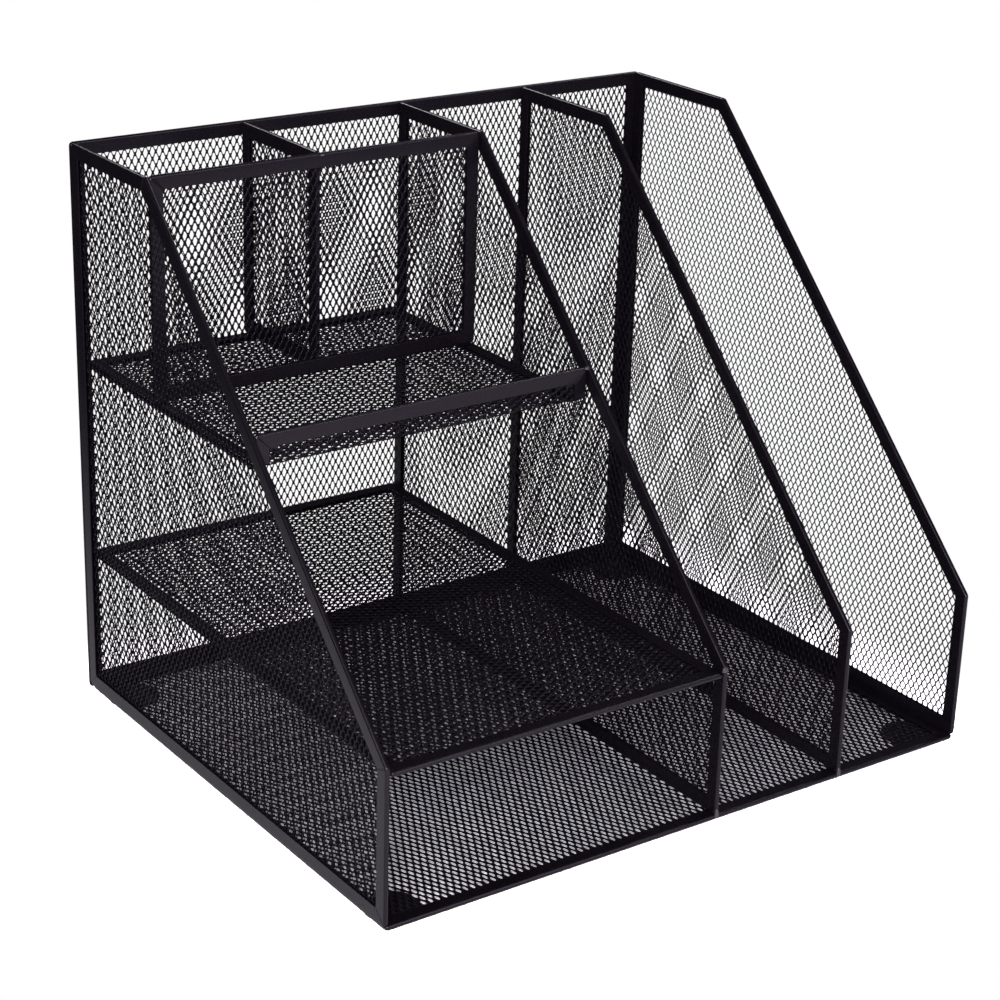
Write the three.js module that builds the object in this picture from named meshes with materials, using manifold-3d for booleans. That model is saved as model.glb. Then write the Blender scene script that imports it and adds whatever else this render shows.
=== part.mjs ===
// Document holder stand for a desk, made of expanded metal sheets in folded steel binding strips.
// On the left are a bottom paper bay, a middle bay, and an upper tray with two pen cups behind it.
// On the right are two upright slots for files. Everything is welded, so nothing moves.
// Millimetres. +X is to the right, +Y to the back and +Z up. The origin lies on the table,
// in the middle of the stand's footprint.

import * as THREE from "three";
import { mergeGeometries, mergeVertices } from "three/addons/utils/BufferGeometryUtils.js";
import Module from "manifold-3d";

// Size over everything, with the feet
const WIDTH = 320;
const DEPTH = 265;
const HEIGHT = 270;

// Outline of the sides and dividers: flat top at the back, slope, then an upright front edge
const TOP_DEPTH = 72;
const FRONT_HEIGHT = 76;

// Heights of the top faces of the two shelves above the table
const LOWER_SHELF_HEIGHT = 73.7;
const UPPER_SHELF_HEIGHT = 167.8;

// Clear width of the left-hand part, between the left side and the tier divider
const TIER_CLEAR_WIDTH = 170.4;

// The lip at the front of the upper tray, and the wall in front of the pen cups
const LIP_SETBACK = 105;
const LIP_RISE = 13.7;
const CUP_WALL_SETBACK = 193;

// Every sheet is bound by a steel strip folded over its edge
const PANEL_THICKNESS = 2.4;
const STRIP_WIDTH = 6.5;
const FOLD_WALL = 0.6;
const SHEET_THICKNESS = 0.7;
const BEND_RADIUS = 1.4;
const CORNER_RADIUS = 3;
const WINDOW_RADIUS = 1.5;

// The base stands back from the outer faces of the sides by this much
const BASE_INSET = 1;

// Neighbouring pieces keep this gap
const CLEARANCE = 0.3;

// Round pads under the base
const FOOT_DIAMETER = 24;
const FOOT_THICKNESS = 1.5;
const FOOT_SIDE_INSET = 14.5;
const FOOT_END_INSET = 17;
const FOOT_SIDES = 32;

// The real mesh has diamonds 3.5 by 6.4 mm with strands 0.75 mm wide. Here they are drawn coarser
// by this factor, with the same share of open area.
const LATTICE_SCALE = 11;
const DIAMOND_SHORT = 3.5 * LATTICE_SCALE;
const DIAMOND_LONG = 6.4 * LATTICE_SCALE;
const STRAND_WIDTH = 0.75 * LATTICE_SCALE;

// An opening cut by the binding is left out if less than this share of it is left
const LEAST_OPENING = 0.12;

// Straight steps in each rounded corner
const ARC_STEPS = 3;

// Cutting tools run past what they cut by this much
const OVERRUN = 5;

// Corners of an opening that lie closer together than this are one corner
const SAME_POINT = 0.05;

// Points of a mesh that lie closer together than this are one point
const SAME_VERTEX = 1e-4;

const FRONT = -DEPTH / 2;
const BACK = DEPTH / 2;
const LEFT = -WIDTH / 2;
const RIGHT = WIDTH / 2;

const COAT = { color: 0x1b1a1d, roughness: 0.5, metalness: 0.35 };
const SHEET_COAT = { color: 0x141316, roughness: 0.6, metalness: 0.3 };
const PAD = { color: 0x0c0c0d, roughness: 0.9, metalness: 0 };

const wasm = await Module();
wasm.setup();

const stand = new THREE.Group();

// The three ways a panel lies: a panel is drawn in its own plane, u by v, and is thick along w
const SIDE_ON = new THREE.Matrix4().makeBasis(
  new THREE.Vector3(0, 1, 0), new THREE.Vector3(0, 0, 1), new THREE.Vector3(1, 0, 0));
const FACE_ON = new THREE.Matrix4().makeBasis(
  new THREE.Vector3(1, 0, 0), new THREE.Vector3(0, 0, 1), new THREE.Vector3(0, -1, 0));
const FLAT = new THREE.Matrix4();

function addMesh(name, geometry, coat, lie, position) {
  const mesh = new THREE.Mesh(geometry, new THREE.MeshStandardMaterial(coat));
  mesh.name = name;
  mesh.setRotationFromMatrix(lie);
  mesh.position.copy(position);
  stand.add(mesh);
}

function rectangle(left, right, bottom, top) {
  return [
    new THREE.Vector2(left, bottom),
    new THREE.Vector2(right, bottom),
    new THREE.Vector2(right, top),
    new THREE.Vector2(left, top),
  ];
}

// Moves each side of a convex outline inwards by its own distance, or outwards where it is negative.
// Side i runs from corner i to the next one, anticlockwise.
function insetSides(corners, distances) {
  const count = corners.length;
  const lines = corners.map((corner, i) => {
    const along = corners[(i + 1) % count].clone().sub(corner).normalize();
    const inwards = new THREE.Vector2(-along.y, along.x);
    return { point: corner.clone().addScaledVector(inwards, distances[i]), along };
  });
  return lines.map((line, i) => {
    const before = lines[(i + count - 1) % count];
    const between = line.point.clone().sub(before.point);
    const reach = between.cross(line.along) / before.along.cross(line.along);
    return before.point.clone().addScaledVector(before.along, reach);
  });
}

function inset(corners, distance) {
  return insetSides(corners, corners.map(() => distance));
}

// Draws a convex outline with its corners rounded. Corner i gets radii[i].
function traceRounded(path, corners, radii) {
  const count = corners.length;
  corners.forEach((corner, i) => {
    const before = corners[(i + count - 1) % count].clone().sub(corner);
    const after = corners[(i + 1) % count].clone().sub(corner);
    const halfAngle = Math.abs(before.angle() - after.angle()) / 2;
    const tangent = radii[i] / Math.abs(Math.tan(halfAngle));
    const start = corner.clone().addScaledVector(before.normalize(), tangent);
    const end = corner.clone().addScaledVector(after.normalize(), tangent);
    if (i === 0) path.moveTo(start.x, start.y);
    else path.lineTo(start.x, start.y);
    if (radii[i] > 0) path.quadraticCurveTo(corner.x, corner.y, end.x, end.y);
  });
  path.closePath();
  return path;
}

function plateGeometry(shape, thickness) {
  const geometry = new THREE.ExtrudeGeometry(shape, {
    depth: thickness,
    bevelEnabled: false,
    curveSegments: ARC_STEPS,
  });
  return geometry.translate(0, 0, -thickness / 2);
}

function toSolid(geometry) {
  const bare = geometry.clone();
  bare.deleteAttribute("normal");
  bare.deleteAttribute("uv");
  const merged = mergeVertices(bare, SAME_VERTEX);
  return new wasm.Manifold(new wasm.Mesh({
    numProp: 3,
    vertProperties: new Float32Array(merged.attributes.position.array),
    triVerts: new Uint32Array(merged.index.array),
  }));
}

function toGeometry(solid) {
  const mesh = solid.getMesh();
  const geometry = new THREE.BufferGeometry();
  geometry.setAttribute("position", new THREE.BufferAttribute(mesh.vertProperties, 3));
  geometry.setIndex(new THREE.BufferAttribute(mesh.triVerts, 1));
  geometry.computeVertexNormals();
  return geometry;
}

// Binding strip of a panel: it goes round the outline, with a groove inside for the sheet's edge.
// Sides listed in openSides have no strip.
function bindingGeometry(corners, openSides = []) {
  const count = corners.length;
  const isOpen = (side) => openSides.includes((side + count) % count);
  const sideInset = (distance) => corners.map((_, side) => (isOpen(side) ? -OVERRUN : distance));
  const radiiOf = (radius) => corners.map((_, i) => (isOpen(i) || isOpen(i - 1) ? 0 : radius));
  const plate = (outline, radii, thickness) =>
    toSolid(plateGeometry(traceRounded(new THREE.Shape(), outline, radii), thickness));
  const body = plate(corners, radiiOf(CORNER_RADIUS), PANEL_THICKNESS);
  const window = plate(
    insetSides(corners, sideInset(STRIP_WIDTH)), radiiOf(WINDOW_RADIUS), PANEL_THICKNESS + OVERRUN);
  const groove = plate(
    insetSides(corners, sideInset(FOLD_WALL)), radiiOf(CORNER_RADIUS - FOLD_WALL),
    SHEET_THICKNESS + 2 * CLEARANCE);
  return toGeometry(body.subtract(window).subtract(groove));
}

// Area of a flat outline
function areaOf(points) {
  return Math.abs(THREE.ShapeUtils.area(points));
}

// What is left of an outline inside a convex window
function clipToWindow(points, window) {
  const clipped = window.reduce((kept, start, i) => {
    const end = window[(i + 1) % window.length];
    const along = end.clone().sub(start);
    const sideOf = (point) => along.cross(point.clone().sub(start));
    return kept.flatMap((point, j) => {
      const next = kept[(j + 1) % kept.length];
      const here = sideOf(point);
      const there = sideOf(next);
      const crossing = here * there < 0 ? [point.clone().lerp(next, here / (here - there))] : [];
      return here >= 0 ? [point, ...crossing] : crossing;
    });
  }, points);
  return clipped.filter((point, i) =>
    point.distanceTo(clipped[(i + 1) % clipped.length]) > SAME_POINT);
}

// The mesh's diamond openings inside a window. They stand upright, or lie along u if turned.
function diamondOpenings(window, turned) {
  const halfShort = DIAMOND_SHORT / 2;
  const halfLong = DIAMOND_LONG / 2;
  const toStrand = (halfShort * halfLong) / Math.hypot(halfShort, halfLong);
  const share = (toStrand - STRAND_WIDTH / 2) / toStrand;
  const [halfU, halfV] = turned ? [halfLong, halfShort] : [halfShort, halfLong];
  const box = new THREE.Box2().setFromPoints(window);
  const middle = box.getCenter(new THREE.Vector2());
  const columns = Math.ceil((box.max.x - box.min.x) / 2 / halfU) + 1;
  const rows = Math.ceil((box.max.y - box.min.y) / 2 / halfV) + 1;
  const wholeArea = 2 * halfU * halfV * share * share;
  const openings = [];
  for (let row = -rows; row <= rows; row += 1) {
    for (let column = -columns; column <= columns; column += 1) {
      if ((row + column) % 2 !== 0) continue;
      const u = middle.x + column * halfU;
      const v = middle.y + row * halfV;
      const diamond = [
        new THREE.Vector2(u, v - halfV * share),
        new THREE.Vector2(u + halfU * share, v),
        new THREE.Vector2(u, v + halfV * share),
        new THREE.Vector2(u - halfU * share, v),
      ];
      const opening = clipToWindow(diamond, window);
      if (opening.length > 2 && areaOf(opening) > LEAST_OPENING * wholeArea) openings.push(opening);
    }
  }
  return openings;
}

// Prisms through the openings of a sheet, turned to lie as the sheet does
function openingCutters(openings, lie, position) {
  const prisms = openings.map((opening) =>
    plateGeometry(new THREE.Shape(opening), SHEET_THICKNESS + OVERRUN));
  return toSolid(mergeGeometries(prisms).applyMatrix4(lie.clone().setPosition(position)));
}

// A flat mesh sheet, which reaches into the groove of its binding
function sheetGeometry(corners, turned) {
  const edgeInset = FOLD_WALL + CLEARANCE;
  const radii = corners.map(() => CORNER_RADIUS - edgeInset);
  const outline = traceRounded(new THREE.Shape(), inset(corners, edgeInset), radii);
  const openings = diamondOpenings(inset(corners, STRIP_WIDTH), turned);
  const cutters = openingCutters(openings, FLAT, new THREE.Vector3());
  return toGeometry(toSolid(plateGeometry(outline, SHEET_THICKNESS)).subtract(cutters));
}

// Adds a panel's sheet and its binding
function addPanel(name, corners, lie, position, turned = false) {
  addMesh(`${name}_mesh`, sheetGeometry(corners, turned), SHEET_COAT, lie, position);
  addMesh(`${name}_binding`, bindingGeometry(corners), COAT, lie, position);
}

// Levels that the pieces share
const baseBottom = FOOT_THICKNESS + CLEARANCE;
const baseTop = baseBottom + PANEL_THICKNESS;
const wallBottom = baseTop + CLEARANCE;
const backMiddle = BACK - PANEL_THICKNESS / 2;
const innerBack = BACK - PANEL_THICKNESS - CLEARANCE;
const topFront = BACK - TOP_DEPTH;
const leftMiddle = LEFT + PANEL_THICKNESS / 2;
const rightMiddle = RIGHT - PANEL_THICKNESS / 2;
const tierLeft = LEFT + PANEL_THICKNESS;
const tierRight = tierLeft + TIER_CLEAR_WIDTH;
const tierDividerMiddle = tierRight + PANEL_THICKNESS / 2;
const fileDividerMiddle = (tierDividerMiddle + rightMiddle) / 2;

// Outline that the sides and the dividers share, from the back panel to the stand's front
const sideOutline = [
  new THREE.Vector2(FRONT, wallBottom),
  new THREE.Vector2(innerBack, wallBottom),
  new THREE.Vector2(innerBack, HEIGHT),
  new THREE.Vector2(topFront, HEIGHT),
  new THREE.Vector2(FRONT, FRONT_HEIGHT),
];

const atX = (x) => new THREE.Vector3(x, 0, 0);
const atY = (y) => new THREE.Vector3(0, y, 0);
const atZ = (z) => new THREE.Vector3(0, 0, z);

// Base, with the sides and dividers standing on it. The back stands behind them all.
addPanel(
  "base", rectangle(LEFT + BASE_INSET, RIGHT - BASE_INSET, FRONT, innerBack), FLAT,
  atZ((baseBottom + baseTop) / 2));
addPanel("left_side", sideOutline, SIDE_ON, atX(leftMiddle));
addPanel("right_side", sideOutline, SIDE_ON, atX(rightMiddle));
addPanel("tier_divider", sideOutline, SIDE_ON, atX(tierDividerMiddle));
addPanel("file_divider", sideOutline, SIDE_ON, atX(fileDividerMiddle));
addPanel("back", rectangle(LEFT, RIGHT, baseBottom, HEIGHT), FACE_ON, atY(backMiddle));

// Shelves between the left side and the tier divider, with the mesh running across them
const shelfLeft = tierLeft + CLEARANCE;
const shelfRight = tierRight - CLEARANCE;
addPanel(
  "lower_shelf",
  rectangle(shelfLeft, shelfRight, FRONT, innerBack), FLAT,
  atZ(LOWER_SHELF_HEIGHT - PANEL_THICKNESS / 2), true);

// The upper shelf's sheet is bent up at the front into a lip, so it is one sheet with two bindings
const trayMiddle = UPPER_SHELF_HEIGHT - PANEL_THICKNESS / 2;
const lipMiddle = FRONT + LIP_SETBACK + PANEL_THICKNESS / 2;
const lipTop = UPPER_SHELF_HEIGHT + LIP_RISE;
const traySheetTop = trayMiddle + SHEET_THICKNESS / 2;
const trayOutline = rectangle(
  shelfLeft, shelfRight, lipMiddle + PANEL_THICKNESS / 2 + CLEARANCE, innerBack);
const lipOutline = rectangle(shelfLeft, shelfRight, traySheetTop + CLEARANCE, lipTop);

// Profile of the bent sheet, looking along X
function bentProfile() {
  const edgeInset = FOLD_WALL + CLEARANCE;
  const half = SHEET_THICKNESS / 2;
  const profile = new THREE.Shape();
  profile.moveTo(innerBack - edgeInset, trayMiddle - half);
  profile.lineTo(innerBack - edgeInset, trayMiddle + half);
  profile.lineTo(lipMiddle + BEND_RADIUS, trayMiddle + half);
  profile.quadraticCurveTo(
    lipMiddle + half, trayMiddle + half, lipMiddle + half, trayMiddle + BEND_RADIUS);
  profile.lineTo(lipMiddle + half, lipTop - edgeInset);
  profile.lineTo(lipMiddle - half, lipTop - edgeInset);
  profile.lineTo(lipMiddle - half, trayMiddle + BEND_RADIUS);
  profile.quadraticCurveTo(
    lipMiddle - half, trayMiddle - half, lipMiddle + BEND_RADIUS, trayMiddle - half);
  profile.closePath();
  return profile;
}

// A prism through an outline whose two far corners, at its greater v, are rounded
function roundedPrism(left, right, bottom, top, length, lie) {
  const radius = CORNER_RADIUS - FOLD_WALL - CLEARANCE;
  const outline = traceRounded(
    new THREE.Shape(), rectangle(left, right, bottom, top), [0, 0, radius, radius]);
  return toSolid(plateGeometry(outline, length).applyMatrix4(lie));
}

// The lattice runs on round the bend: v on the lip continues v on the tray, measured along the sheet
function bentSheetGeometry() {
  const edgeInset = FOLD_WALL + CLEARANCE;
  const left = shelfLeft + edgeInset;
  const right = shelfRight - edgeInset;
  const body = plateGeometry(bentProfile(), right - left);
  body.applyMatrix4(SIDE_ON.clone().setPosition((left + right) / 2, 0, 0));
  const fromAbove = roundedPrism(left, right, FRONT, innerBack - edgeInset, 2 * HEIGHT, FLAT);
  const fromFront = roundedPrism(left, right, 0, lipTop - edgeInset, DEPTH, FACE_ON);
  const lipHeight = lipTop - trayMiddle;
  const whole = rectangle(shelfLeft, shelfRight, lipMiddle - lipHeight, innerBack);
  const window = inset(whole, STRIP_WIDTH);
  const openings = diamondOpenings(window, true);
  const trayWindow = rectangle(window[0].x, window[1].x, lipMiddle + 2 * BEND_RADIUS, window[2].y);
  const lipWindow = rectangle(window[0].x, window[1].x, window[0].y, lipMiddle - 2 * BEND_RADIUS);
  const inWindow = (part) => openings
    .map((opening) => clipToWindow(opening, part))
    .filter((opening) => opening.length > 2 && areaOf(opening) > BEND_RADIUS * BEND_RADIUS);
  const onLip = inWindow(lipWindow).map((opening) =>
    opening.map((point) => new THREE.Vector2(point.x, trayMiddle + lipMiddle - point.y)));
  return toGeometry(
    toSolid(body)
      .intersect(fromAbove)
      .intersect(fromFront)
      .subtract(openingCutters(inWindow(trayWindow), FLAT, atZ(trayMiddle)))
      .subtract(openingCutters(onLip, FACE_ON, atY(lipMiddle))));
}

addMesh("upper_shelf_mesh", bentSheetGeometry(), SHEET_COAT, FLAT, atZ(0));
addMesh("upper_shelf_binding", bindingGeometry(trayOutline, [0]), COAT, FLAT, atZ(trayMiddle));
addMesh("upper_lip_binding", bindingGeometry(lipOutline, [0]), COAT, FACE_ON, atY(lipMiddle));

// Pen cups: a wall across the tier and a divider from it to the back
const cupBottom = UPPER_SHELF_HEIGHT + CLEARANCE;
const cupWallMiddle = FRONT + CUP_WALL_SETBACK + PANEL_THICKNESS / 2;
const cupDividerFront = cupWallMiddle + PANEL_THICKNESS / 2 + CLEARANCE;
addPanel(
  "cup_front", rectangle(shelfLeft, shelfRight, cupBottom, HEIGHT), FACE_ON, atY(cupWallMiddle));
addPanel(
  "cup_divider", rectangle(cupDividerFront, innerBack, cupBottom, HEIGHT), SIDE_ON,
  atX((tierLeft + tierRight) / 2));

// Pads glued under the corners of the base
for (const [side, x] of [["left", LEFT + FOOT_SIDE_INSET], ["right", RIGHT - FOOT_SIDE_INSET]]) {
  for (const [end, y] of [["front", FRONT + FOOT_END_INSET], ["back", innerBack - FOOT_END_INSET]]) {
    const radius = FOOT_DIAMETER / 2;
    const pad = new THREE.CylinderGeometry(radius, radius, FOOT_THICKNESS, FOOT_SIDES);
    pad.rotateX(Math.PI / 2);
    addMesh(`foot_${end}_${side}`, pad, PAD, FLAT, new THREE.Vector3(x, y, FOOT_THICKNESS / 2));
  }
}

export default stand;
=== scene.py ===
"""Looks of a desk document holder: expanded metal mesh in folded steel strips, coated black.

Every sheet and strip is modelled in its own flat plane, in millimetres, and is then laid where
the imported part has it, in metres.
"""

import logging
import math
from dataclasses import dataclass, field, replace
from enum import Enum
from typing import Any, Callable, Optional, Sequence

import bmesh
import bpy
from mathutils import Matrix, Vector


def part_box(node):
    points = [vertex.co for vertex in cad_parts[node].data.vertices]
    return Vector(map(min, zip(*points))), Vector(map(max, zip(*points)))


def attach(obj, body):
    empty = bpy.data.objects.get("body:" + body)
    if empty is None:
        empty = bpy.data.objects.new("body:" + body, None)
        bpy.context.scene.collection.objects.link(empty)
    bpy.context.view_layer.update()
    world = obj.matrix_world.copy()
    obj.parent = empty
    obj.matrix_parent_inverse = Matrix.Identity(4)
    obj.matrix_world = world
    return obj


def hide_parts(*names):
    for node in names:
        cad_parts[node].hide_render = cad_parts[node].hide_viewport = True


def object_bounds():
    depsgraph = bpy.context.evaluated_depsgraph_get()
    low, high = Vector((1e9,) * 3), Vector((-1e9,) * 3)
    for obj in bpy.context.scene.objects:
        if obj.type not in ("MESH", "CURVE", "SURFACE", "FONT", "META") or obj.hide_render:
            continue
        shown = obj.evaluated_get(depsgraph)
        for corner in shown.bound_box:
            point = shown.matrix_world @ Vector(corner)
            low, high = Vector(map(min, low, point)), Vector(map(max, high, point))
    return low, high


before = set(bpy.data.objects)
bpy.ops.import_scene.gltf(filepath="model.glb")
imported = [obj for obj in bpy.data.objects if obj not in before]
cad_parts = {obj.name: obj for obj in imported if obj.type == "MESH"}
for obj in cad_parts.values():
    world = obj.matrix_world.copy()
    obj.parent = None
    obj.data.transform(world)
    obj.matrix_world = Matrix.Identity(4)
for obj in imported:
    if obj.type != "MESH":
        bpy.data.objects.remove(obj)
PACKED_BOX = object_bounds()

BODY = "root"
MM = 0.001

# How near, in millimetres, two points or a point and a cut count as one.
CUT_THRESHOLD = 0.0001
# How near, in millimetres, two points count as level with each other.
SAME_LEVEL = 0.01
# The upward part of a face's normal: at most this where the face stands upright, and at least
# this where it lies flat.
UPRIGHT, LYING = 0.1, 0.5

Test = Callable[[Any], bool]

log = logging.getLogger("stand")


class Kind(Enum):
    """What an edit-mode selection is made of."""

    VERTS = "VERT"
    EDGES = "EDGE"
    FACES = "FACE"


class Slot(Enum):
    """Material slots of the record."""

    MESH = "mesh_sheet"
    BINDING = "binding"
    PAD = "pad"


class Lie(Enum):
    """How a panel lies: which axes of the stand its own u, v and w run along."""

    FLAT = ((1, 0, 0), (0, 1, 0), (0, 0, 1))
    SIDE_ON = ((0, 1, 0), (0, 0, 1), (1, 0, 0))
    FACE_ON = ((1, 0, 0), (0, 0, 1), (0, -1, 0))

    def matrix(self, level: float) -> Matrix:
        """Placement of a panel modelled in millimetres.

        Args:
            level: where the panel's middle plane is along w, in millimetres.

        Returns:
            The matrix from the panel's own plane to the stand, in metres.
        """
        axes = Matrix(self.value).transposed().to_4x4()
        return Matrix.Scale(MM, 4) @ axes @ Matrix.Translation((0, 0, level))

    def flatten(self, point: Vector) -> Vector:
        """A point of the stand in metres as the panel's own u, v and w in millimetres."""
        return Vector([Vector(axis).dot(point) for axis in self.value]) / MM

    def level_of(self, node: str) -> float:
        """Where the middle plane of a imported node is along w, in millimetres."""
        low, high = [self.flatten(corner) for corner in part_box(node)]
        return (low.z + high.z) / 2


def deselect() -> None:
    """Deselects every object."""
    for piece in list(bpy.context.selected_objects):
        piece.select_set(False)


def make_active(piece: bpy.types.Object) -> None:
    """Selects one piece alone and makes it the active one.

    Args:
        piece: the object.
    """
    deselect()
    piece.select_set(True)
    bpy.context.view_layer.objects.active = piece


def start_editing(piece: bpy.types.Object) -> None:
    """Enters edit mode on one piece, with all of it selected.

    Args:
        piece: the object.
    """
    make_active(piece)
    bpy.ops.object.mode_set(mode="EDIT")
    bpy.ops.mesh.select_all(action="SELECT")


def stop_editing() -> None:
    """Goes back to object mode."""
    bpy.ops.object.mode_set(mode="OBJECT")


def pick(piece: bpy.types.Object, kind: Kind, test: Test) -> None:
    """Selects, in edit mode, what passes a test, and nothing else.

    Args:
        piece: the object in edit mode.
        kind: vertices, edges or faces.
        test: takes one of them and says whether it is wanted.
    """
    bpy.ops.mesh.select_mode(type=kind.value)
    bpy.ops.mesh.select_all(action="DESELECT")
    shape = bmesh.from_edit_mesh(piece.data)
    parts = {Kind.VERTS: shape.verts, Kind.EDGES: shape.edges, Kind.FACES: shape.faces}[kind]
    for part in [part for part in parts if test(part)]:
        part.select_set(True)
    shape.select_flush_mode()
    bmesh.update_edit_mesh(piece.data)


def move_picked(step: Sequence[float]) -> None:
    """Moves what is selected by a step."""
    bpy.ops.transform.translate(value=step)


def cut_away(start: Vector, outward: Vector) -> None:
    """Cuts what is selected along a plane and clears away what lies beyond it.

    Args:
        start: a point on the plane.
        outward: the plane's normal, towards what is cleared away.
    """
    bpy.ops.mesh.bisect(
        plane_co=start, plane_no=outward, clear_outer=True, threshold=CUT_THRESHOLD)


def round_off(radius: float, steps: int, affect: str = "EDGES") -> None:
    """Rounds the edges or the corners that are selected.

    Args:
        radius: how far from them the rounding starts.
        steps: how many parts it has.
        affect: EDGES or VERTICES.
    """
    bpy.ops.mesh.bevel(
        offset=radius, offset_type="OFFSET", affect=affect, segments=steps, profile=0.5,
        clamp_overlap=False)


def apply_modifier(piece: bpy.types.Object, kind: str, **settings: Any) -> None:
    """Adds a modifier to a piece and applies it.

    Args:
        piece: the object.
        kind: the modifier's type.
        **settings: its settings by name.
    """
    make_active(piece)
    modifier = piece.modifiers.new(kind.title(), kind)
    for name, value in settings.items():
        setattr(modifier, name, value)
    bpy.ops.object.modifier_apply(modifier=modifier.name)


def settle(piece: bpy.types.Object, placement: Matrix) -> None:
    """Lays a piece in its place and puts that place into its mesh.

    Args:
        piece: the object.
        placement: its place.
    """
    make_active(piece)
    piece.matrix_world = placement
    bpy.ops.object.transform_apply(location=True, rotation=True, scale=True)


def hand_over(piece: bpy.types.Object, slot: Slot, material: bpy.types.Material, *nodes: str) -> None:
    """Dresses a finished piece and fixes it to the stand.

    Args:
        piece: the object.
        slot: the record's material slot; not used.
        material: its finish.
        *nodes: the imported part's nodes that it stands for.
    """
    piece.data.materials.clear()
    piece.data.materials.append(material)
    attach(piece, BODY)
    if nodes:
        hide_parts(*nodes)
    triangles = sum(len(face.vertices) - 2 for face in piece.data.polygons)
    log.info("%s: %d triangles", piece.name, triangles)


@dataclass(frozen=True)
class Outline:
    """A panel's outline in its own plane, in millimetres: a box, with one corner cut by a slope.

    The slope, if there is one, goes from slope_top on the top edge to slope_front on the left one.
    """

    left: float
    right: float
    bottom: float
    top: float
    slope_top: Optional[float] = None
    slope_front: Optional[float] = None

    @classmethod
    def of_node(cls, node: str, lie: Lie, **slope: float) -> "Outline":
        """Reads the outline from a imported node's box.

        Args:
            node: the node's name.
            lie: how the panel lies.
            **slope: slope_top and slope_front, for a panel with a slope.

        Returns:
            The outline.
        """
        low, high = [lie.flatten(corner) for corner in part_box(node)]
        return cls(
            min(low.x, high.x), max(low.x, high.x), min(low.y, high.y), max(low.y, high.y), **slope)

    @property
    def middle(self) -> Vector:
        """The middle of the box."""
        return Vector(((self.left + self.right) / 2, (self.bottom + self.top) / 2, 0))

    def sides(self) -> list[tuple[Vector, Vector]]:
        """The sides, going round from the bottom one.

        Returns:
            A point on each side, and the side's outward direction.
        """
        low, high = Vector((self.left, self.bottom, 0)), Vector((self.right, self.top, 0))
        found = [
            (low, Vector((0, -1, 0))),
            (high, Vector((1, 0, 0))),
            (high, Vector((0, 1, 0))),
            (low, Vector((-1, 0, 0))),
        ]
        if self.slope_top is not None:
            start = Vector((self.slope_top, self.top, 0))
            along = Vector((self.left, self.slope_front, 0)) - start
            found.insert(3, (start, Vector((along.y, -along.x, 0)).normalized()))
        return found

    def depth(self, point: Vector) -> float:
        """How far inside the outline a point lies."""
        return min((start - point).dot(outward) for start, outward in self.sides())

    def corners(self, inset: float = 0) -> list[Vector]:
        """The corners of the outline moved inwards.

        Args:
            inset: how far it is moved.

        Returns:
            The corners. Corner i is where side i starts.
        """
        sides = [(start - outward * inset, outward) for start, outward in self.sides()]
        found = []
        for i, (start, outward) in enumerate(sides):
            before, edge = sides[i - 1]
            along = Vector((-edge.y, edge.x, 0))
            found.append(before + along * ((start - before).dot(outward) / along.dot(outward)))
        return found


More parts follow.
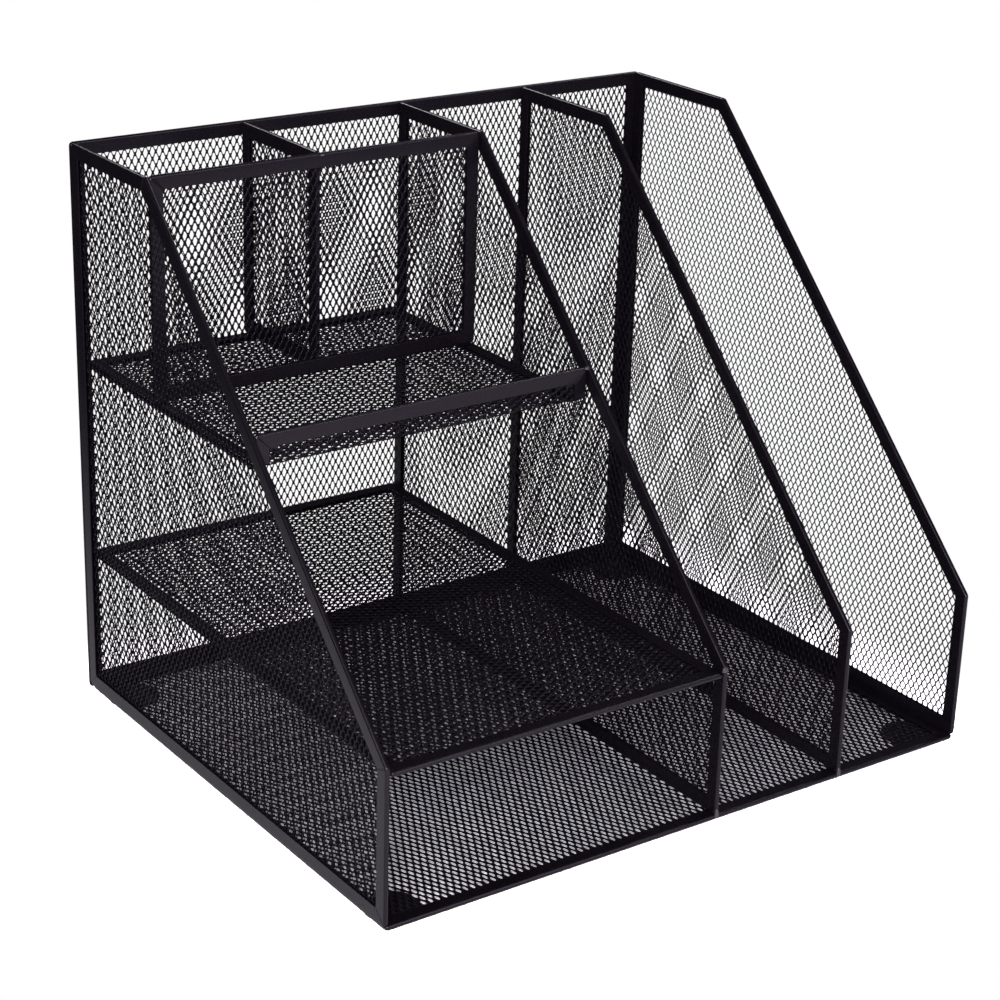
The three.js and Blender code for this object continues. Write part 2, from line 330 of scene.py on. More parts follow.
@dataclass(frozen=True)
class Lattice:
    """Expanded metal: staggered openings between bonds and slanting strands. Millimetres.

    A bond has eight sides, or six where bond_half_length is 0 and two of them close up.
    """

    pitch_short: float = 3.5
    pitch_long: float = 6.4
    bond_half_width: float = 0.42
    bond_half_length: float = 0.42
    end_half_width: float = 0.42
    end_reach: float = 1.22
    tilt: float = 0.16
    end_tilt: float = 0.06
    thickness: float = 0.48
    margin: float = 0.6
    bond_points: int = 8
    end_parts: int = 3
    spare_tiles: int = 2
    same_point: float = 0.002

    def build_tile(self) -> bpy.types.Object:
        """One bond with the two strands that leave it upwards, modelled about the origin.

        Returns:
            The tile, a flat shell with its strands tilted.
        """
        deselect()
        bpy.ops.mesh.primitive_circle_add(vertices=self.bond_points, radius=1, fill_type="NGON")
        tile = bpy.context.active_object
        start_editing(tile)
        half_turn = math.pi / self.bond_points
        bpy.ops.transform.rotate(value=half_turn, orient_axis="Z", center_override=(0, 0, 0))
        near, far = math.sin(half_turn), math.cos(half_turn)
        pick(tile, Kind.VERTS, lambda v: abs(v.co.x) > abs(v.co.y))
        bpy.ops.transform.resize(
            value=(self.bond_half_width / far, self.bond_half_length / near, 1),
            center_override=(0, 0, 0))
        # The other four points are still on the circle, at radius 1.
        pick(tile, Kind.VERTS, lambda v: abs(v.co.length - 1) < self.same_point)
        bpy.ops.transform.resize(
            value=(self.end_half_width / near, self.end_reach / far, 1),
            center_override=(0, 0, 0))
        reach = Vector((
            self.pitch_short / 2 - self.bond_half_width - self.end_half_width,
            self.pitch_long / 2 - self.bond_half_length - self.end_reach, 0))
        for side in (1, -1):
            pick(tile, Kind.EDGES, lambda e: self._is_shoulder(e, side))
            bpy.ops.mesh.extrude_region_move(
                TRANSFORM_OT_translate={"value": (side * reach.x, reach.y, 0)})
        for lift, test in self._tilts():
            pick(tile, Kind.VERTS, test)
            move_picked((0, 0, lift))
        stop_editing()
        return tile

    def _is_shoulder(self, edge: bmesh.types.BMEdge, side: int) -> bool:
        """Whether an edge is the bond's slanting upper edge on one side.

        Args:
            edge: the edge.
            side: 1 for the right side and -1 for the left one.

        Returns:
            True if it is.
        """
        a, b = edge.verts[0].co, edge.verts[1].co
        ends = sorted((a.y, b.y))
        return (
            side * a.x > 0 and side * b.x > 0
            and abs(ends[0] - self.bond_half_length) < self.same_point
            and abs(ends[1] - self.end_reach) < self.same_point)

    def _tilts(self) -> list[tuple[float, Test]]:
        """How the points of a tile are lifted out of the sheet.

        Returns:
            For each kind of point its lift, and a test for the kind.
        """
        half_short, half_long = self.pitch_short / 2, self.pitch_long / 2
        openings = [(sx * half_short, 0) for sx in (-1, 1)] + [(0, sy * half_long) for sy in (-1, 1)]

        def place(point: Vector) -> tuple[float, float]:
            """The point as seen from the middle of the opening that it borders."""
            around = [(point.x - u, point.y - v) for u, v in openings]
            return min(around, key=lambda d: (d[0] / half_short) ** 2 + (d[1] / half_long) ** 2)

        def is_end(point: Vector) -> bool:
            """Whether the point is at an end of its opening."""
            return abs(place(point)[1]) > half_long / self.end_parts

        return [
            (side * lift, lambda v, s=side, e=end: is_end(v.co) == e and place(v.co)[0] * s < 0)
            for side in (1, -1)
            for end, lift in ((False, self.tilt), (True, self.end_tilt))
        ]

    def spread(self, outline: Outline, turned: bool) -> bpy.types.Object:
        """Arrays the tile over an outline's box.

        Args:
            outline: what the tiles have to cover.
            turned: whether the openings lie along u instead of v.

        Returns:
            The spread tiles, merged into one shell.
        """
        sheet = self.build_tile()
        width, height = outline.right - outline.left, outline.top - outline.bottom
        if turned:
            width, height = height, width
        columns = math.ceil(width / self.pitch_short) + self.spare_tiles
        rows = math.ceil(height / self.pitch_long) + self.spare_tiles
        half = (self.pitch_short / 2, self.pitch_long / 2, 0)
        for count, step in (
                (2, half), (columns, (self.pitch_short, 0, 0)), (rows, (0, self.pitch_long, 0))):
            apply_modifier(
                sheet, "ARRAY", count=count, use_relative_offset=False, use_constant_offset=True,
                constant_offset_displace=step)
        start_editing(sheet)
        bpy.ops.mesh.remove_doubles(threshold=self.same_point)
        bpy.ops.mesh.normals_make_consistent(inside=False)
        middle = Vector((columns * self.pitch_short, rows * self.pitch_long, 0)) / 2
        move_picked(-middle)
        if turned:
            bpy.ops.transform.rotate(value=math.pi / 2, orient_axis="Z", center_override=(0, 0, 0))
        move_picked(outline.middle)
        stop_editing()
        return sheet

    def trim(self, sheet: bpy.types.Object, cuts: Sequence[tuple[Vector, Vector]]) -> None:
        """Cuts a sheet along lines.

        Args:
            sheet: the spread tiles.
            cuts: a point on each line, and the direction in which the sheet is cut away.
        """
        start_editing(sheet)
        for start, outward in cuts:
            bpy.ops.mesh.select_all(action="SELECT")
            cut_away(start, outward)
        bpy.ops.mesh.select_all(action="SELECT")
        bpy.ops.mesh.remove_doubles(threshold=self.same_point)
        stop_editing()

    def thicken(self, sheet: bpy.types.Object) -> None:
        """Gives a cut sheet its thickness and its soft, coated shading.

        Args:
            sheet: the flat shell.
        """
        apply_modifier(sheet, "SOLIDIFY", thickness=self.thickness, offset=0)
        make_active(sheet)
        bpy.ops.object.shade_smooth()


@dataclass(frozen=True)
class FoldedStrip:
    """A steel strip folded over the edge of a sheet and bent round its corners. Millimetres."""

    width: float = 6.5
    thickness: float = 2.4
    wall: float = 0.6
    corner_radius: float = 1.8
    window_radius: float = 1.1
    fold_radius: float = 1.1
    lip_radius: float = 0.2
    seam_half_width: float = 0.15
    seam_depth: float = 0.18
    seam_step: float = 0.06
    seam_reach: float = 1.6
    seam_overrun: float = 1.0
    seam_hit: float = 0.02
    seam_cover: float = 0.35
    seam_crest: float = 0.05
    seam_stop: float = 0.4
    fold_band: tuple[float, float] = (-0.2, 1.1)
    window_band: float = 0.6
    window_slack: float = 0.5
    groove_stop: float = 1.0
    corner_steps: int = 4
    fold_steps: int = 4
    lip_steps: int = 2
    spare: float = 30.0
    smooth_angle: float = math.radians(38)

    def build(self, name: str, outline: Outline, open_side: Optional[int] = None) -> bpy.types.Object:
        """Models the strip round a panel.

        Args:
            name: the piece's name.
            outline: the panel's outline.
            open_side: the side that has no strip, if there is one.

        Returns:
            The strip, in the panel's own plane.
        """
        outer = self._rounded_face(outline, 0, self.corner_radius, open_side, self.spare)
        inner = self._rounded_face(
            outline, self.width, self.window_radius, open_side, self.spare / 2)
        ring = self._bridge(outer, inner)
        ring.name = ring.data.name = name
        if open_side is not None:
            start_editing(ring)
            cut_away(*outline.sides()[open_side])
            stop_editing()
        apply_modifier(ring, "SOLIDIFY", thickness=self.thickness, offset=0)
        self._fold(ring, outline)
        self._cut_seams(ring, outline, open_side)
        self._shade(ring)
        return ring

    def _rounded_face(
            self, outline: Outline, inset: float, radius: float, open_side: Optional[int],
            spare: float) -> bpy.types.Object:
        """A flat face with rounded corners.

        Args:
            outline: the panel's outline.
            inset: how far inside it the face ends.
            radius: the radius of its corners.
            open_side: a side past which the face runs on instead.
            spare: how far it runs on.

        Returns:
            The face as an object of its own.
        """
        deselect()
        bpy.ops.mesh.primitive_plane_add(size=1)
        face = bpy.context.active_object
        start_editing(face)
        reach = [-inset] * 4
        if open_side is not None:
            reach[open_side] = spare
        low = Vector((outline.left - reach[3], outline.bottom - reach[0], 0))
        high = Vector((outline.right + reach[1], outline.top + reach[2], 0))
        bpy.ops.transform.resize(value=(high.x - low.x, high.y - low.y, 1))
        move_picked((low + high) / 2)
        if outline.slope_top is not None:
            start, outward = outline.sides()[3]
            cut_away(start - outward * inset, outward)
        shape = bmesh.from_edit_mesh(face.data)
        angles = {
            round(loop.calc_angle(), 3) for polygon in shape.faces for loop in polygon.loops}
        for angle in sorted(angles):
            pick(face, Kind.VERTS, lambda v: round(v.link_loops[0].calc_angle(), 3) == angle)
            round_off(radius / math.tan(angle / 2), self.corner_steps, "VERTICES")
        stop_editing()
        return face

    def _bridge(self, outer: bpy.types.Object, inner: bpy.types.Object) -> bpy.types.Object:
        """Joins two flat faces into the ring between their edges.

        Args:
            outer: the larger face.
            inner: the smaller one, which is used up.

        Returns:
            The ring.
        """
        deselect()
        inner.select_set(True)
        outer.select_set(True)
        bpy.context.view_layer.objects.active = outer
        bpy.ops.object.join()
        start_editing(outer)
        bpy.ops.mesh.select_mode(type="FACE")
        bpy.ops.mesh.select_all(action="SELECT")
        bpy.ops.mesh.delete(type="ONLY_FACE")
        bpy.ops.mesh.select_mode(type="EDGE")
        bpy.ops.mesh.select_all(action="SELECT")
        bpy.ops.mesh.bridge_edge_loops()
        bpy.ops.mesh.select_all(action="SELECT")
        bpy.ops.mesh.normals_make_consistent(inside=False)
        stop_editing()
        return outer

    def _fold(self, ring: bpy.types.Object, outline: Outline) -> None:
        """Opens the groove for the sheet and rounds the folded edge.

        Args:
            ring: the thickened ring.
            outline: the panel's outline.
        """
        half = self.thickness / 2
        start_editing(ring)

        def faces_window(face: bmesh.types.BMFace) -> bool:
            """Whether a face is part of the inner edge of the ring.

            Args:
                face: the face.

            Returns:
                True if it is.
            """
            return (
                abs(face.normal.z) < UPRIGHT
                and outline.depth(face.calc_center_median()) > self.width - self.window_slack
                and face.calc_area() > 0)

        pick(ring, Kind.FACES, faces_window)
        bpy.ops.mesh.inset(thickness=self.wall, use_even_offset=True, use_boundary=True)
        bpy.ops.mesh.extrude_region_shrink_fatten(
            TRANSFORM_OT_shrink_fatten={"value": -(self.width - self.wall) + self.groove_stop})

        def is_rim(edge: bmesh.types.BMEdge, shallow: float, deep: float) -> bool:
            """Whether an edge runs along the ring's upper or lower face, at some depth.

            Args:
                edge: the edge.
                shallow: the least depth inside the outline.
                deep: the greatest.

            Returns:
                True if it does.
            """
            spots = [v.co for v in edge.verts]
            level = all(abs(abs(spot.z) - half) < SAME_LEVEL for spot in spots)
            lying = [abs(face.normal.z) > LYING for face in edge.link_faces]
            middle = (spots[0] + spots[1]) / 2
            return (
                level and lying.count(True) == 1 and len(lying) == 2
                and shallow < outline.depth(middle) < deep)

        pick(ring, Kind.EDGES, lambda edge: is_rim(edge, *self.fold_band))
        round_off(self.fold_radius, self.fold_steps)
        pick(ring, Kind.EDGES, lambda edge: is_rim(
            edge, self.width - self.window_band, self.width + self.window_band))
        round_off(self.lip_radius, self.lip_steps)
        stop_editing()

    def _cut_seams(
            self, ring: bpy.types.Object, outline: Outline, open_side: Optional[int]) -> None:
        """Presses a mitre seam into both faces at each corner.

        Args:
            ring: the folded ring.
            outline: the panel's outline.
            open_side: the side that has no strip, if there is one.
        """
        corners, windows = outline.corners(), outline.corners(self.width)
        count = len(corners)
        half = self.thickness / 2
        start_editing(ring)
        for i, (corner, window) in enumerate(zip(corners, windows)):
            if open_side is not None and open_side in (i, (i - 1) % count):
                continue
            along = (window - corner).normalized()
            across = Vector((-along.y, along.x, 0))
            reach = (window - corner).length

            def near(spot: Vector, within: float) -> bool:
                """Whether a place lies by the seam.

                Args:
                    spot: the place.
                    within: how far from the seam it may be.

                Returns:
                    True if it does.
                """
                offset = spot - corner
                past = offset.dot(along)
                beside = abs(offset.dot(across)) < within
                return beside and -self.seam_overrun < past < reach + self.seam_overrun

            for side in (1, -1):
                pick(ring, Kind.FACES, lambda f: near(f.calc_center_median(), self.seam_reach))
                bpy.ops.mesh.bisect(
                    plane_co=corner + across * (side * self.seam_half_width), plane_no=across,
                    threshold=CUT_THRESHOLD)
            for face in (1, -1):
                pick(ring, Kind.VERTS, lambda v: (
                    near(v.co, self.seam_hit) and face * v.co.z > half - self.seam_cover
                    and outline.depth(v.co) < self.width - self.seam_stop))
                move_picked((0, 0, -face * self.seam_depth))
                pick(ring, Kind.VERTS, lambda v: (
                    near(v.co - across * self.seam_half_width, self.seam_hit)
                    and face * v.co.z > half - self.seam_crest
                    and outline.depth(v.co) > self.fold_radius))
                move_picked((0, 0, face * self.seam_step))
        stop_editing()

    def _shade(self, ring: bpy.types.Object) -> None:
        """Smooths the folds and keeps the flat faces flat.

        Args:
            ring: the finished ring.
        """
        start_editing(ring)
        bpy.ops.mesh.select_all(action="SELECT")
        bpy.ops.mesh.remove_doubles(threshold=CUT_THRESHOLD)
        bpy.ops.mesh.normals_make_consistent(inside=False)
        stop_editing()
        bpy.ops.object.shade_smooth_by_angle(angle=self.smooth_angle)
        apply_modifier(ring, "WEIGHTED_NORMAL", keep_sharp=True)


@dataclass
class Panel:
    """A flat sheet of mesh bound by its strip."""

    name: str
    lie: Lie
    turned: bool = False
    slope: Optional[tuple[float, float]] = None
    weld: float = 0.0
    lattice: Lattice = field(default_factory=Lattice)
    strip: FoldedStrip = field(default_factory=FoldedStrip)

    @property
    def outline(self) -> Outline:
        """The panel's outline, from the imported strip, reaching down and back into its welds.

        Returns:
            The outline.
        """
        slope = {}
        if self.slope:
            slope = {"slope_top": self.slope[0], "slope_front": self.slope[1]}
        outline = Outline.of_node(f"{self.name}_binding", self.lie, **slope)
        return replace(outline, bottom=outline.bottom - self.weld, right=outline.right + self.weld)

    @property
    def level(self) -> float:
        """Where the panel's middle plane is along w, in millimetres."""
        return self.lie.level_of(f"{self.name}_binding")

    def build_sheet(self) -> bpy.types.Object:
        """Models the sheet and lays it in its place.

        Returns:
            The sheet.
        """
        inset = self.strip.width - self.lattice.margin
        sheet = self.lattice.spread(self.outline, self.turned)
        cuts = [(start - outward * inset, outward) for start, outward in self.outline.sides()]
        self.lattice.trim(sheet, cuts)
        self.lattice.thicken(sheet)
        sheet.name = sheet.data.name = f"{self.name}_sheet"
        settle(sheet, self.lie.matrix(self.level))
        return sheet

    def build_strip(self) -> bpy.types.Object:
        """Models the strip and lays it in its place.

        Returns:
            The strip.
        """
        piece = self.strip.build(f"{self.name}_strip", self.outline)
        settle(piece, self.lie.matrix(self.level))
        return piece

    def build(self, sheet_coat: bpy.types.Material, strip_coat: bpy.types.Material) -> None:
        """Builds and dresses both pieces.

        Args:
            sheet_coat: finish of the mesh.
            strip_coat: finish of the strip.
        """
        hand_over(self.build_sheet(), Slot.MESH, sheet_coat, f"{self.name}_mesh")
        hand_over(self.build_strip(), Slot.BINDING, strip_coat, f"{self.name}_binding")


@dataclass
class Tray:
    """The upper shelf: one sheet bent up into a lip at the front, with two strips. Millimetres."""

    lattice: Lattice = field(default_factory=Lattice)
    strip: FoldedStrip = field(default_factory=FoldedStrip)
    bend_radius: float = 1.4
    bend_steps: int = 3
    lip_node: str = "upper_lip_binding"
    tray_node: str = "upper_shelf_binding"

    def build_sheet(self) -> bpy.types.Object:
        """Models the sheet flat, cuts it, bends up its lip and lays it in its place.

        Returns:
            The sheet.
        """
        tray = Outline.of_node(self.tray_node, Lie.FLAT)
        level = Lie.FLAT.level_of(self.tray_node)
        lip_y = -Lie.FACE_ON.level_of(self.lip_node)
        lip_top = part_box(self.lip_node)[1].z / MM
        inset = self.strip.width - self.lattice.margin
        arc = math.pi / 2 * self.bend_radius
        straight = lip_top - inset - level - self.bend_radius
        bend_start = lip_y + self.bend_radius
        flat = Outline(tray.left, tray.right, bend_start - arc - straight - inset, tray.top)
        sheet = self.lattice.spread(flat, turned=True)
        cuts = [(start - outward * inset, outward) for start, outward in flat.sides()]
        self.lattice.trim(sheet, cuts)
        start_editing(sheet)
        for step in range(self.bend_steps + 1):
            bpy.ops.mesh.select_all(action="SELECT")
            line = bend_start - arc * step / self.bend_steps
            bpy.ops.mesh.bisect(
                plane_co=(0, line, 0), plane_no=(0, 1, 0), threshold=CUT_THRESHOLD)
        turn = math.pi / 2 / self.bend_steps
        for step in reversed(range(self.bend_steps)):
            line = bend_start - arc * (step + 0.5) / self.bend_steps
            pick(sheet, Kind.VERTS, lambda v: v.co.y < line)
            bpy.ops.transform.rotate(
                value=turn, orient_axis="X", center_override=(0, line, 0))
        stop_editing()
        self.lattice.thicken(sheet)
        sheet.name = sheet.data.name = "upper_shelf_sheet"
        settle(sheet, Lie.FLAT.matrix(level))
        return sheet

    def build(self, sheet_coat: bpy.types.Material, strip_coat: bpy.types.Material) -> None:
        """Builds and dresses the sheet and its two strips.

        Args:
            sheet_coat: finish of the mesh.
            strip_coat: finish of the strips.
        """
        hand_over(self.build_sheet(), Slot.MESH, sheet_coat, "upper_shelf_mesh")
        for name, node, lie in (
                ("upper_shelf_strip", self.tray_node, Lie.FLAT),
                ("upper_lip_strip", self.lip_node, Lie.FACE_ON)):
            piece = self.strip.build(name, Outline.of_node(node, lie), open_side=0)
            settle(piece, lie.matrix(lie.level_of(node)))
            hand_over(piece, Slot.BINDING, strip_coat, node)


@dataclass
class Pad:
    """A round foam pad with a rolled edge, glued under the base. Millimetres."""

    node: str
    sides: int = 64
    edge_radius: float = 0.5
    glue_inset: float = 1.2
    glue_step: float = 0.12
    edge_steps: int = 3
    smooth_angle: float = math.radians(40)

    def build(self, material: bpy.types.Material) -> None:
        """Models, places and dresses the pad.

        Args:
            material: its finish.
        """
        low, high = [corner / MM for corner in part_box(self.node)]
        height = high.z - low.z
        deselect()
        bpy.ops.mesh.primitive_cylinder_add(
            vertices=self.sides, radius=(high.x - low.x) / 2, depth=height)
        pad = bpy.context.active_object
        start_editing(pad)
        pick(pad, Kind.EDGES, lambda e: (
            abs(abs(e.verts[0].co.z) - height / 2) < SAME_LEVEL
            and abs(e.verts[0].co.z - e.verts[1].co.z) < SAME_LEVEL))
        round_off(self.edge_radius, self.edge_steps)
        pick(pad, Kind.FACES, lambda f: f.normal.z > LYING and len(f.verts) == self.sides)
        bpy.ops.mesh.inset(thickness=self.glue_inset)
        bpy.ops.mesh.inset(thickness=self.glue_step)
        move_picked((0, 0, self.glue_step))
        stop_editing()
        bpy.ops.object.shade_smooth_by_angle(angle=self.smooth_angle)
        pad.name = pad.data.name = self.node.replace("foot", "pad")
        middle = (low + high) / 2
        settle(pad, Matrix.Scale(MM, 4) @ Matrix.Translation(middle))
        hand_over(pad, Slot.PAD, material, self.node)


@dataclass(frozen=True)
class Weld:
    """A bead of weld metal where two strips meet, under the coat. Millimetres."""

    name: str
    place: tuple[float, float, float]
    size: tuple[float, float, float]
    steps: tuple[tuple[float, float], ...] = ((0.1, 1.06), (-0.15, 1.3))
    segments: int = 24
    rings: int = 12

    def build(self, material: bpy.types.Material) -> None:
        """Models the bead, wider below each of its steps, and dresses it.

        Args:
            material: its finish.
        """
        deselect()
        bpy.ops.mesh.primitive_uv_sphere_add(
            segments=self.segments, ring_count=self.rings, radius=0.5)
        bead = bpy.context.active_object
        start_editing(bead)
        for level, spread in self.steps:
            pick(bead, Kind.VERTS, lambda v: v.co.z < level)
            bpy.ops.transform.resize(value=(spread, spread, 1), center_override=(0, 0, 0))
        bpy.ops.mesh.select_all(action="SELECT")
        bpy.ops.transform.resize(value=self.size, center_override=(0, 0, 0))
        stop_editing()
        bpy.ops.object.shade_smooth()
        bead.name = bead.data.name = self.name
        settle(bead, Matrix.Scale(MM, 4) @ Matrix.Translation(self.place))
        hand_over(bead, Slot.BINDING, material)


class Wire:
    """A shader socket that Python's operators work on."""

    def __init__(self, bench: "Workbench", socket: bpy.types.NodeSocket) -> None:
        """Wraps a socket of a node tree."""
        self.bench = bench
        self.socket = socket

    def _math(self, operation: str, first: Any, second: Any) -> "Wire":
        """Adds a Math node on two values."""
        return self.bench.node("ShaderNodeMath", {"operation": operation}, {0: first, 1: second})[0]

    def __add__(self, other: Any) -> "Wire":
        """This plus a value."""
        return self._math("ADD", self, other)

    def __radd__(self, other: Any) -> "Wire":
        """A value plus this."""
        return self._math("ADD", other, self)

    def __sub__(self, other: Any) -> "Wire":
        """This less a value."""
        return self._math("SUBTRACT", self, other)

    def __rsub__(self, other: Any) -> "Wire":
        """A value less this."""
        return self._math("SUBTRACT", other, self)

    def __mul__(self, other: Any) -> "Wire":
        """This times a value."""
        return self._math("MULTIPLY", self, other)

    def __rmul__(self, other: Any) -> "Wire":
        """A value times this."""
        return self._math("MULTIPLY", other, self)

    def __abs__(self) -> "Wire":
        """This without its sign."""
        return self._math("ABSOLUTE", self, 0.0)

    def __or__(self, other: Any) -> "Wire":
        """This or a value, whichever is larger."""
        return self._math("MAXIMUM", self, other)


class Workbench:
    """Adds nodes to one node tree."""

    def __init__(self, tree: bpy.types.NodeTree) -> None:
        """Empties the tree."""
        self.tree = tree
        tree.nodes.clear()

    def node(
            self, kind: str, settings: dict[str, Any], inputs: dict[Any, Any]) -> list[Wire]:
        """Adds a node.

        Args:
            kind: the node's type.
            settings: its settings, set first.
            inputs: values or wires by socket name or number.

        Returns:
            Its outputs as wires, in order.
        """
        made = self.tree.nodes.new(kind)
        for name, value in settings.items():
            setattr(made, name, value)
        for key, value in inputs.items():
            if isinstance(value, Wire):
                self.tree.links.new(value.socket, made.inputs[key])
            else:
                made.inputs[key].default_value = value
        return [Wire(self, socket) for socket in made.outputs]

    def where(self) -> Wire:
        """Object coordinates, which are output 3 of Texture Coordinate."""
        return self.node("ShaderNodeTexCoord", {}, {})[3]

    def seen(self) -> Wire:
        """1 for a ray that comes straight from the camera, else 0: output 0 of Light Path."""
        return self.node("ShaderNodeLightPath", {}, {})[0]

    def noise(self, where: Wire, scale: float, detail: float) -> Wire:
        """Noise from 0 to 1 at a scale per metre."""
        return self.node("ShaderNodeTexNoise", {}, {
            "Vector": where, "Scale": scale, "Detail": detail})[0]

    def blend(self, mask: Wire, first: Sequence[float], second: Sequence[float]) -> Wire:
        """A colour between two colours, which are inputs 6 and 7 and output 2 of Mix."""
        return self.node("ShaderNodeMix", {"data_type": "RGBA"}, {
            0: mask, 6: (*first, 1), 7: (*second, 1)})[2]


@dataclass(frozen=True)
class Coat:
    """Black powder coat: a fine, slightly uneven grain over steel. Lengths in metres."""

    name: str
    dark: tuple[float, float, float]
    light: tuple[float, float, float]
    roughness: float
    roughness_spread: float
    grain: float
    grain_height: float
    specular: float = 0.5
    tint: tuple[float, float, float] = (0.9, 0.76, 1.0)
    patch: float = 0.03
    patch_detail: float = 3
    grain_detail: float = 2
    bump_strength: float = 0.6

    def material(self) -> bpy.types.Material:
        """Makes the material.

        Returns:
            The material.
        """
        made = bpy.data.materials.new(self.name)
        made.use_nodes = True
        bench = Workbench(made.node_tree)
        where = bench.where()
        patches = bench.noise(where, 1 / self.patch, self.patch_detail)
        grain = bench.noise(where, 1 / self.grain, self.grain_detail)
        speckle = patches * 0.5 + grain * 0.5
        bump = bench.node("ShaderNodeBump", {}, {
            "Strength": self.bump_strength, "Distance": self.grain_height, "Height": grain})[0]
        shader = bench.node("ShaderNodeBsdfPrincipled", {}, {
            "Base Color": bench.blend(speckle, self.dark, self.light),
            "Roughness": self.roughness + (speckle - 0.5) * self.roughness_spread,
            "Specular IOR Level": self.specular,
            "Specular Tint": (*self.tint, 1),
            "Normal": bump})[0]
        bench.node("ShaderNodeOutputMaterial", {}, {"Surface": shader})
        return made


SHEET_COAT = Coat(
    "mesh_coat", (0.0022, 0.0014, 0.0032), (0.0054, 0.0036, 0.0076), 0.36, 0.18, 0.0004, 0.00002,
    specular=0.25)
STRIP_COAT = Coat(
    "strip_coat", (0.0030, 0.0022, 0.0038), (0.0076, 0.0056, 0.0092), 0.27, 0.16, 0.00035, 0.000015,
    specular=0.42)
FOAM = Coat("pad_foam", (0.006, 0.006, 0.006), (0.014, 0.014, 0.014), 0.9, 0.1, 0.0006, 0.0001)
# Weld beads are coated black like the strips. Their lighter colour is a painted highlight; their
# lower roughness and stronger specular are real gloss.
WELD_HIGHLIGHT_COAT = Coat(
    "weld_painted_highlight", (0.02, 0.018, 0.022), (0.09, 0.08, 0.1), 0.24, 0.2, 0.0006, 0.00004, specular=0.7)

# The strands of each panel, as bold and as tilted as they look in the photograph.
PLAIN_MESH = Lattice()
RIGHT_MESH = replace(
    PLAIN_MESH, bond_half_width=0.38, end_half_width=0.36, end_reach=1.2, tilt=0.25, end_tilt=0.1,
    thickness=0.4)
DIVIDER_MESH = replace(
    PLAIN_MESH, bond_half_width=0.43, end_half_width=0.38, thickness=0.3)
BACK_MESH = replace(PLAIN_MESH, bond_half_length=0.0, end_reach=1.0, margin=0.2)
TRAY_MESH = Lattice(
    bond_half_width=0.8, end_half_width=0.45, end_reach=1.65, tilt=0.1, end_tilt=0.04,
    thickness=0.4)
SHELF_MESH = replace(TRAY_MESH, tilt=0.2, end_tilt=0.08, thickness=0.45)
BASE_MESH = replace(
    TRAY_MESH, bond_half_width=0.72, bond_half_length=0.0, end_reach=1.45, tilt=0.2, end_tilt=0.08)

# Where the sloped edge leaves the top edge, and where it meets the front one, in millimetres.
SLOPE = (60.5, 76.0)

PANELS = (
    Panel("base", Lie.FLAT, lattice=BASE_MESH),
    Panel("left_side", Lie.SIDE_ON, slope=SLOPE, weld=0.6, lattice=PLAIN_MESH),
    Panel("right_side", Lie.SIDE_ON, slope=SLOPE, weld=0.6, lattice=RIGHT_MESH),
    Panel("tier_divider", Lie.SIDE_ON, slope=SLOPE, weld=0.3, lattice=DIVIDER_MESH),
    Panel("file_divider", Lie.SIDE_ON, slope=SLOPE, weld=0.3, lattice=DIVIDER_MESH),
    Panel("back", Lie.FACE_ON, lattice=BACK_MESH),
    Panel("lower_shelf", Lie.FLAT, turned=True, lattice=SHELF_MESH),
    Panel("cup_front", Lie.FACE_ON, lattice=PLAIN_MESH),
    Panel("cup_divider", Lie.SIDE_ON, lattice=PLAIN_MESH),
)

FEET = ("foot_front_left", "foot_front_right", "foot_back_left", "foot_back_right")

WELDS = (
    Weld("weld_tier_divider_foot", (14.0, -132.3, 4.6), (2.0, 1.5, 4.6)),
    Weld("weld_file_divider_foot", (86.4, -132.3, 4.6), (2.0, 1.5, 4.6)),
    Weld("weld_lower_shelf_end", (13.4, -132.2, 75.0), (3.0, 1.6, 2.8)),
    Weld("weld_cup_divider_top", (-71.9, 61.6, 269.1), (2.6, 3.2, 1.1)),
    Weld("weld_lip_end", (12.7, -27.0, 181.2), (2.6, 2.2, 1.5)),
)


@dataclass(frozen=True)
class Lamp:
    """A soft rectangular lamp that points at the stand. Metres and watts."""

    name: str
    place: tuple[float, float, float]
    width: float
    height: float
    power: float

    def build(self, target: Vector) -> None:
        """Adds the lamp, turned to the target.

        Args:
            target: what it points at.
        """
        light = bpy.data.lights.new(self.name, "AREA")
        light.shape = "RECTANGLE"
        light.size, light.size_y = self.width, self.height
        light.energy = self.power
        lamp = bpy.data.objects.new(self.name, light)
        bpy.context.scene.collection.objects.link(lamp)
        lamp.location = self.place
        lamp.rotation_euler = (Vector(self.place) - target).to_track_quat("Z", "Y").to_euler()


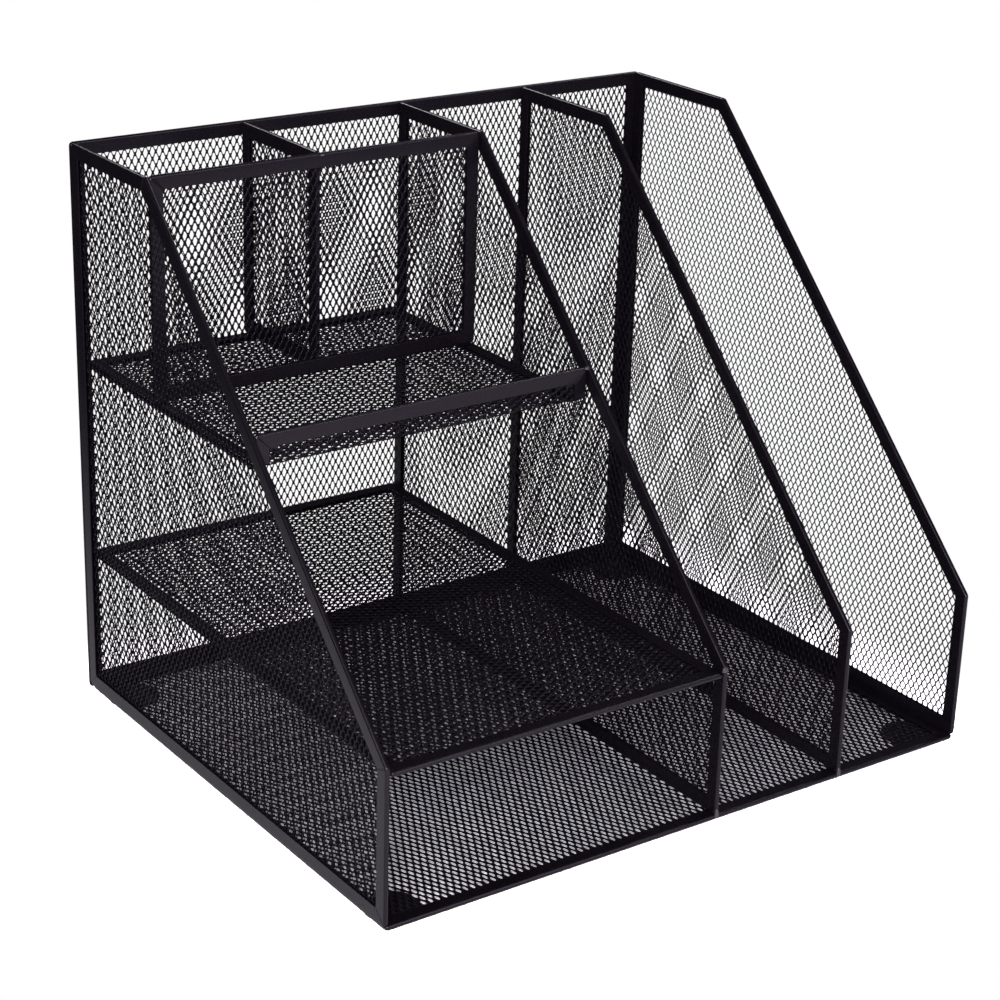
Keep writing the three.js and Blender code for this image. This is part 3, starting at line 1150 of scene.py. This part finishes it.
@dataclass
class Studio:
    """A white table with soft lamps, whose colour darkens away from the stand as painted shade of a
    dim room. Metres.

    Camera rays alone see the floor and the sky white. Near the stand the floor's white comes from
    seen_color, which is above 1 so that it clips to white and still shows the stand's shadow.
    """

    floor_size: float = 6.0
    floor_color: tuple[float, float, float] = (0.86, 0.86, 0.86)
    # Painted shade of a dim room: away from the stand, the floor that lamps light and the stand
    # reflects darkens to this colour.
    painted_room_shade: tuple[float, float, float] = (0.06, 0.055, 0.07)
    seen_color: tuple[float, float, float] = (4.5, 4.25, 4.5)
    table_middle: tuple[float, float, float] = (0.1, -0.3, 0.0)
    painted_shade_reach: tuple[float, float] = (0.4, 1.0)
    white_reach: tuple[float, float] = (0.0, 0.06)
    sky_color: tuple[float, float, float] = (0.90, 0.80, 1.0)
    world_strength: float = 0.05
    aim: tuple[float, float, float] = (0, 0, 0.12)
    lamps: tuple[Lamp, ...] = (
        Lamp("key", (-1.0, -1.3, 0.9), 0.9, 0.6, 36),
        Lamp("fill", (0.7, -1.6, 0.9), 0.8, 0.6, 7),
        Lamp("back", (-0.1, 1.3, 1.2), 0.6, 0.12, 5),
        Lamp("rim", (0.9, 0.2, 1.2), 0.12, 0.5, 3),
    )

    def build(self) -> None:
        """Adds the floor, the world and the lamps."""
        scene = bpy.context.scene
        scene.view_settings.view_transform = "Standard"
        self._floor()
        self._world()
        for lamp in self.lamps:
            lamp.build(Vector(self.aim))

    def _floor(self) -> None:
        """A floor that the camera sees white, with the stand's shadow, and that lamps light as a
        table darkening away from the stand in painted shade.
        """
        deselect()
        bpy.ops.mesh.primitive_plane_add(size=self.floor_size)
        floor = bpy.context.active_object
        floor.name = "floor"
        made = bpy.data.materials.new("floor_white")
        made.use_nodes = True
        bench = Workbench(made.node_tree)
        where = bench.where()
        from_middle = bench.node("ShaderNodeVectorMath", {"operation": "DISTANCE"}, {
            0: where, 1: self.table_middle})[1]
        # Painted shade: the table's colour darkens away from its middle.
        table = bench.node("ShaderNodeBsdfDiffuse", {}, {"Color": bench.blend(
            self._rise(bench, from_middle, self.painted_shade_reach), self.floor_color, self.painted_room_shade)})[0]
        near = bench.node("ShaderNodeBsdfDiffuse", {}, {"Color": (*self.seen_color, 1)})[0]
        far = bench.node("ShaderNodeEmission", {}, {"Strength": 1.0})[0]
        x, y, _ = bench.node("ShaderNodeSeparateXYZ", {}, {"Vector": where})
        outside = (abs(x) - PACKED_BOX[1].x) | (abs(y) - PACKED_BOX[1].y)
        white = bench.node("ShaderNodeMixShader", {}, {
            0: self._rise(bench, outside, self.white_reach), 1: near, 2: far})[0]
        shader = bench.node("ShaderNodeMixShader", {}, {0: bench.seen(), 1: table, 2: white})[0]
        bench.node("ShaderNodeOutputMaterial", {}, {"Surface": shader})
        floor.data.materials.append(made)

    def _rise(self, bench: Workbench, value: Wire, reach: tuple[float, float]) -> Wire:
        """A soft rise from 0 to 1 as a value goes through a reach."""
        return bench.node("ShaderNodeMapRange", {"interpolation_type": "SMOOTHSTEP"}, {
            "Value": value, "From Min": reach[0], "From Max": reach[1]})[0]

    def _world(self) -> None:
        """A dim sky that is plain white to the camera."""
        scene = bpy.context.scene
        scene.world = bpy.data.worlds.new("studio")
        scene.world.use_nodes = True
        bench = Workbench(scene.world.node_tree)
        soft = bench.node("ShaderNodeBackground", {}, {
            "Color": (*self.sky_color, 1), "Strength": self.world_strength})[0]
        white = bench.node("ShaderNodeBackground", {}, {
            "Color": (1, 1, 1, 1), "Strength": 1.0})[0]
        shader = bench.node("ShaderNodeMixShader", {}, {0: bench.seen(), 1: soft, 2: white})[0]
        bench.node("ShaderNodeOutputWorld", {}, {"Surface": shader})


@dataclass(frozen=True)
class PhotoCamera:
    """The camera at the photograph's viewing angle. Metres, degrees and pixels."""

    place: tuple[float, float, float] = (-0.6249, -0.8487, 0.5337)
    azimuth: float = -35.77
    elevation: float = 21.87
    roll: float = 1.74
    focal_pixels: float = 2457.0
    frame_pixels: float = 1000
    sensor: float = 36
    clip: tuple[float, float] = (0.01, 50)

    def build(self) -> None:
        """Adds the camera."""
        data = bpy.data.cameras.new("photo_camera")
        data.sensor_width = self.sensor
        data.lens = self.focal_pixels / self.frame_pixels * self.sensor
        data.clip_start, data.clip_end = self.clip
        camera = bpy.data.objects.new("photo_camera", data)
        bpy.context.scene.collection.objects.link(camera)
        azimuth, elevation = math.radians(self.azimuth), math.radians(self.elevation)
        back = Vector((
            math.sin(azimuth) * math.cos(elevation), -math.cos(azimuth) * math.cos(elevation),
            math.sin(elevation)))
        right = Vector((0, 0, 1)).cross(back).normalized()
        up = back.cross(right)
        turn = Matrix((right, up, back)).transposed() @ Matrix.Rotation(
            math.radians(self.roll), 3, "Z")
        camera.matrix_world = Matrix.Translation(self.place) @ turn.to_4x4()
        bpy.context.scene.camera = camera


def main() -> None:
    """Builds the studio, then every piece of the stand."""
    logging.basicConfig(level=logging.INFO, format="%(name)s %(message)s")
    PhotoCamera().build()
    Studio().build()
    sheet_coat, strip_coat, foam, weld_painted_highlight = [
        finish.material() for finish in (SHEET_COAT, STRIP_COAT, FOAM, WELD_HIGHLIGHT_COAT)]
    for panel in PANELS:
        panel.build(sheet_coat, strip_coat)
    Tray(lattice=TRAY_MESH).build(sheet_coat, strip_coat)
    for node in FEET:
        Pad(node).build(foam)
    for weld in WELDS:
        weld.build(weld_painted_highlight)


if __name__ == "__main__":
    main()
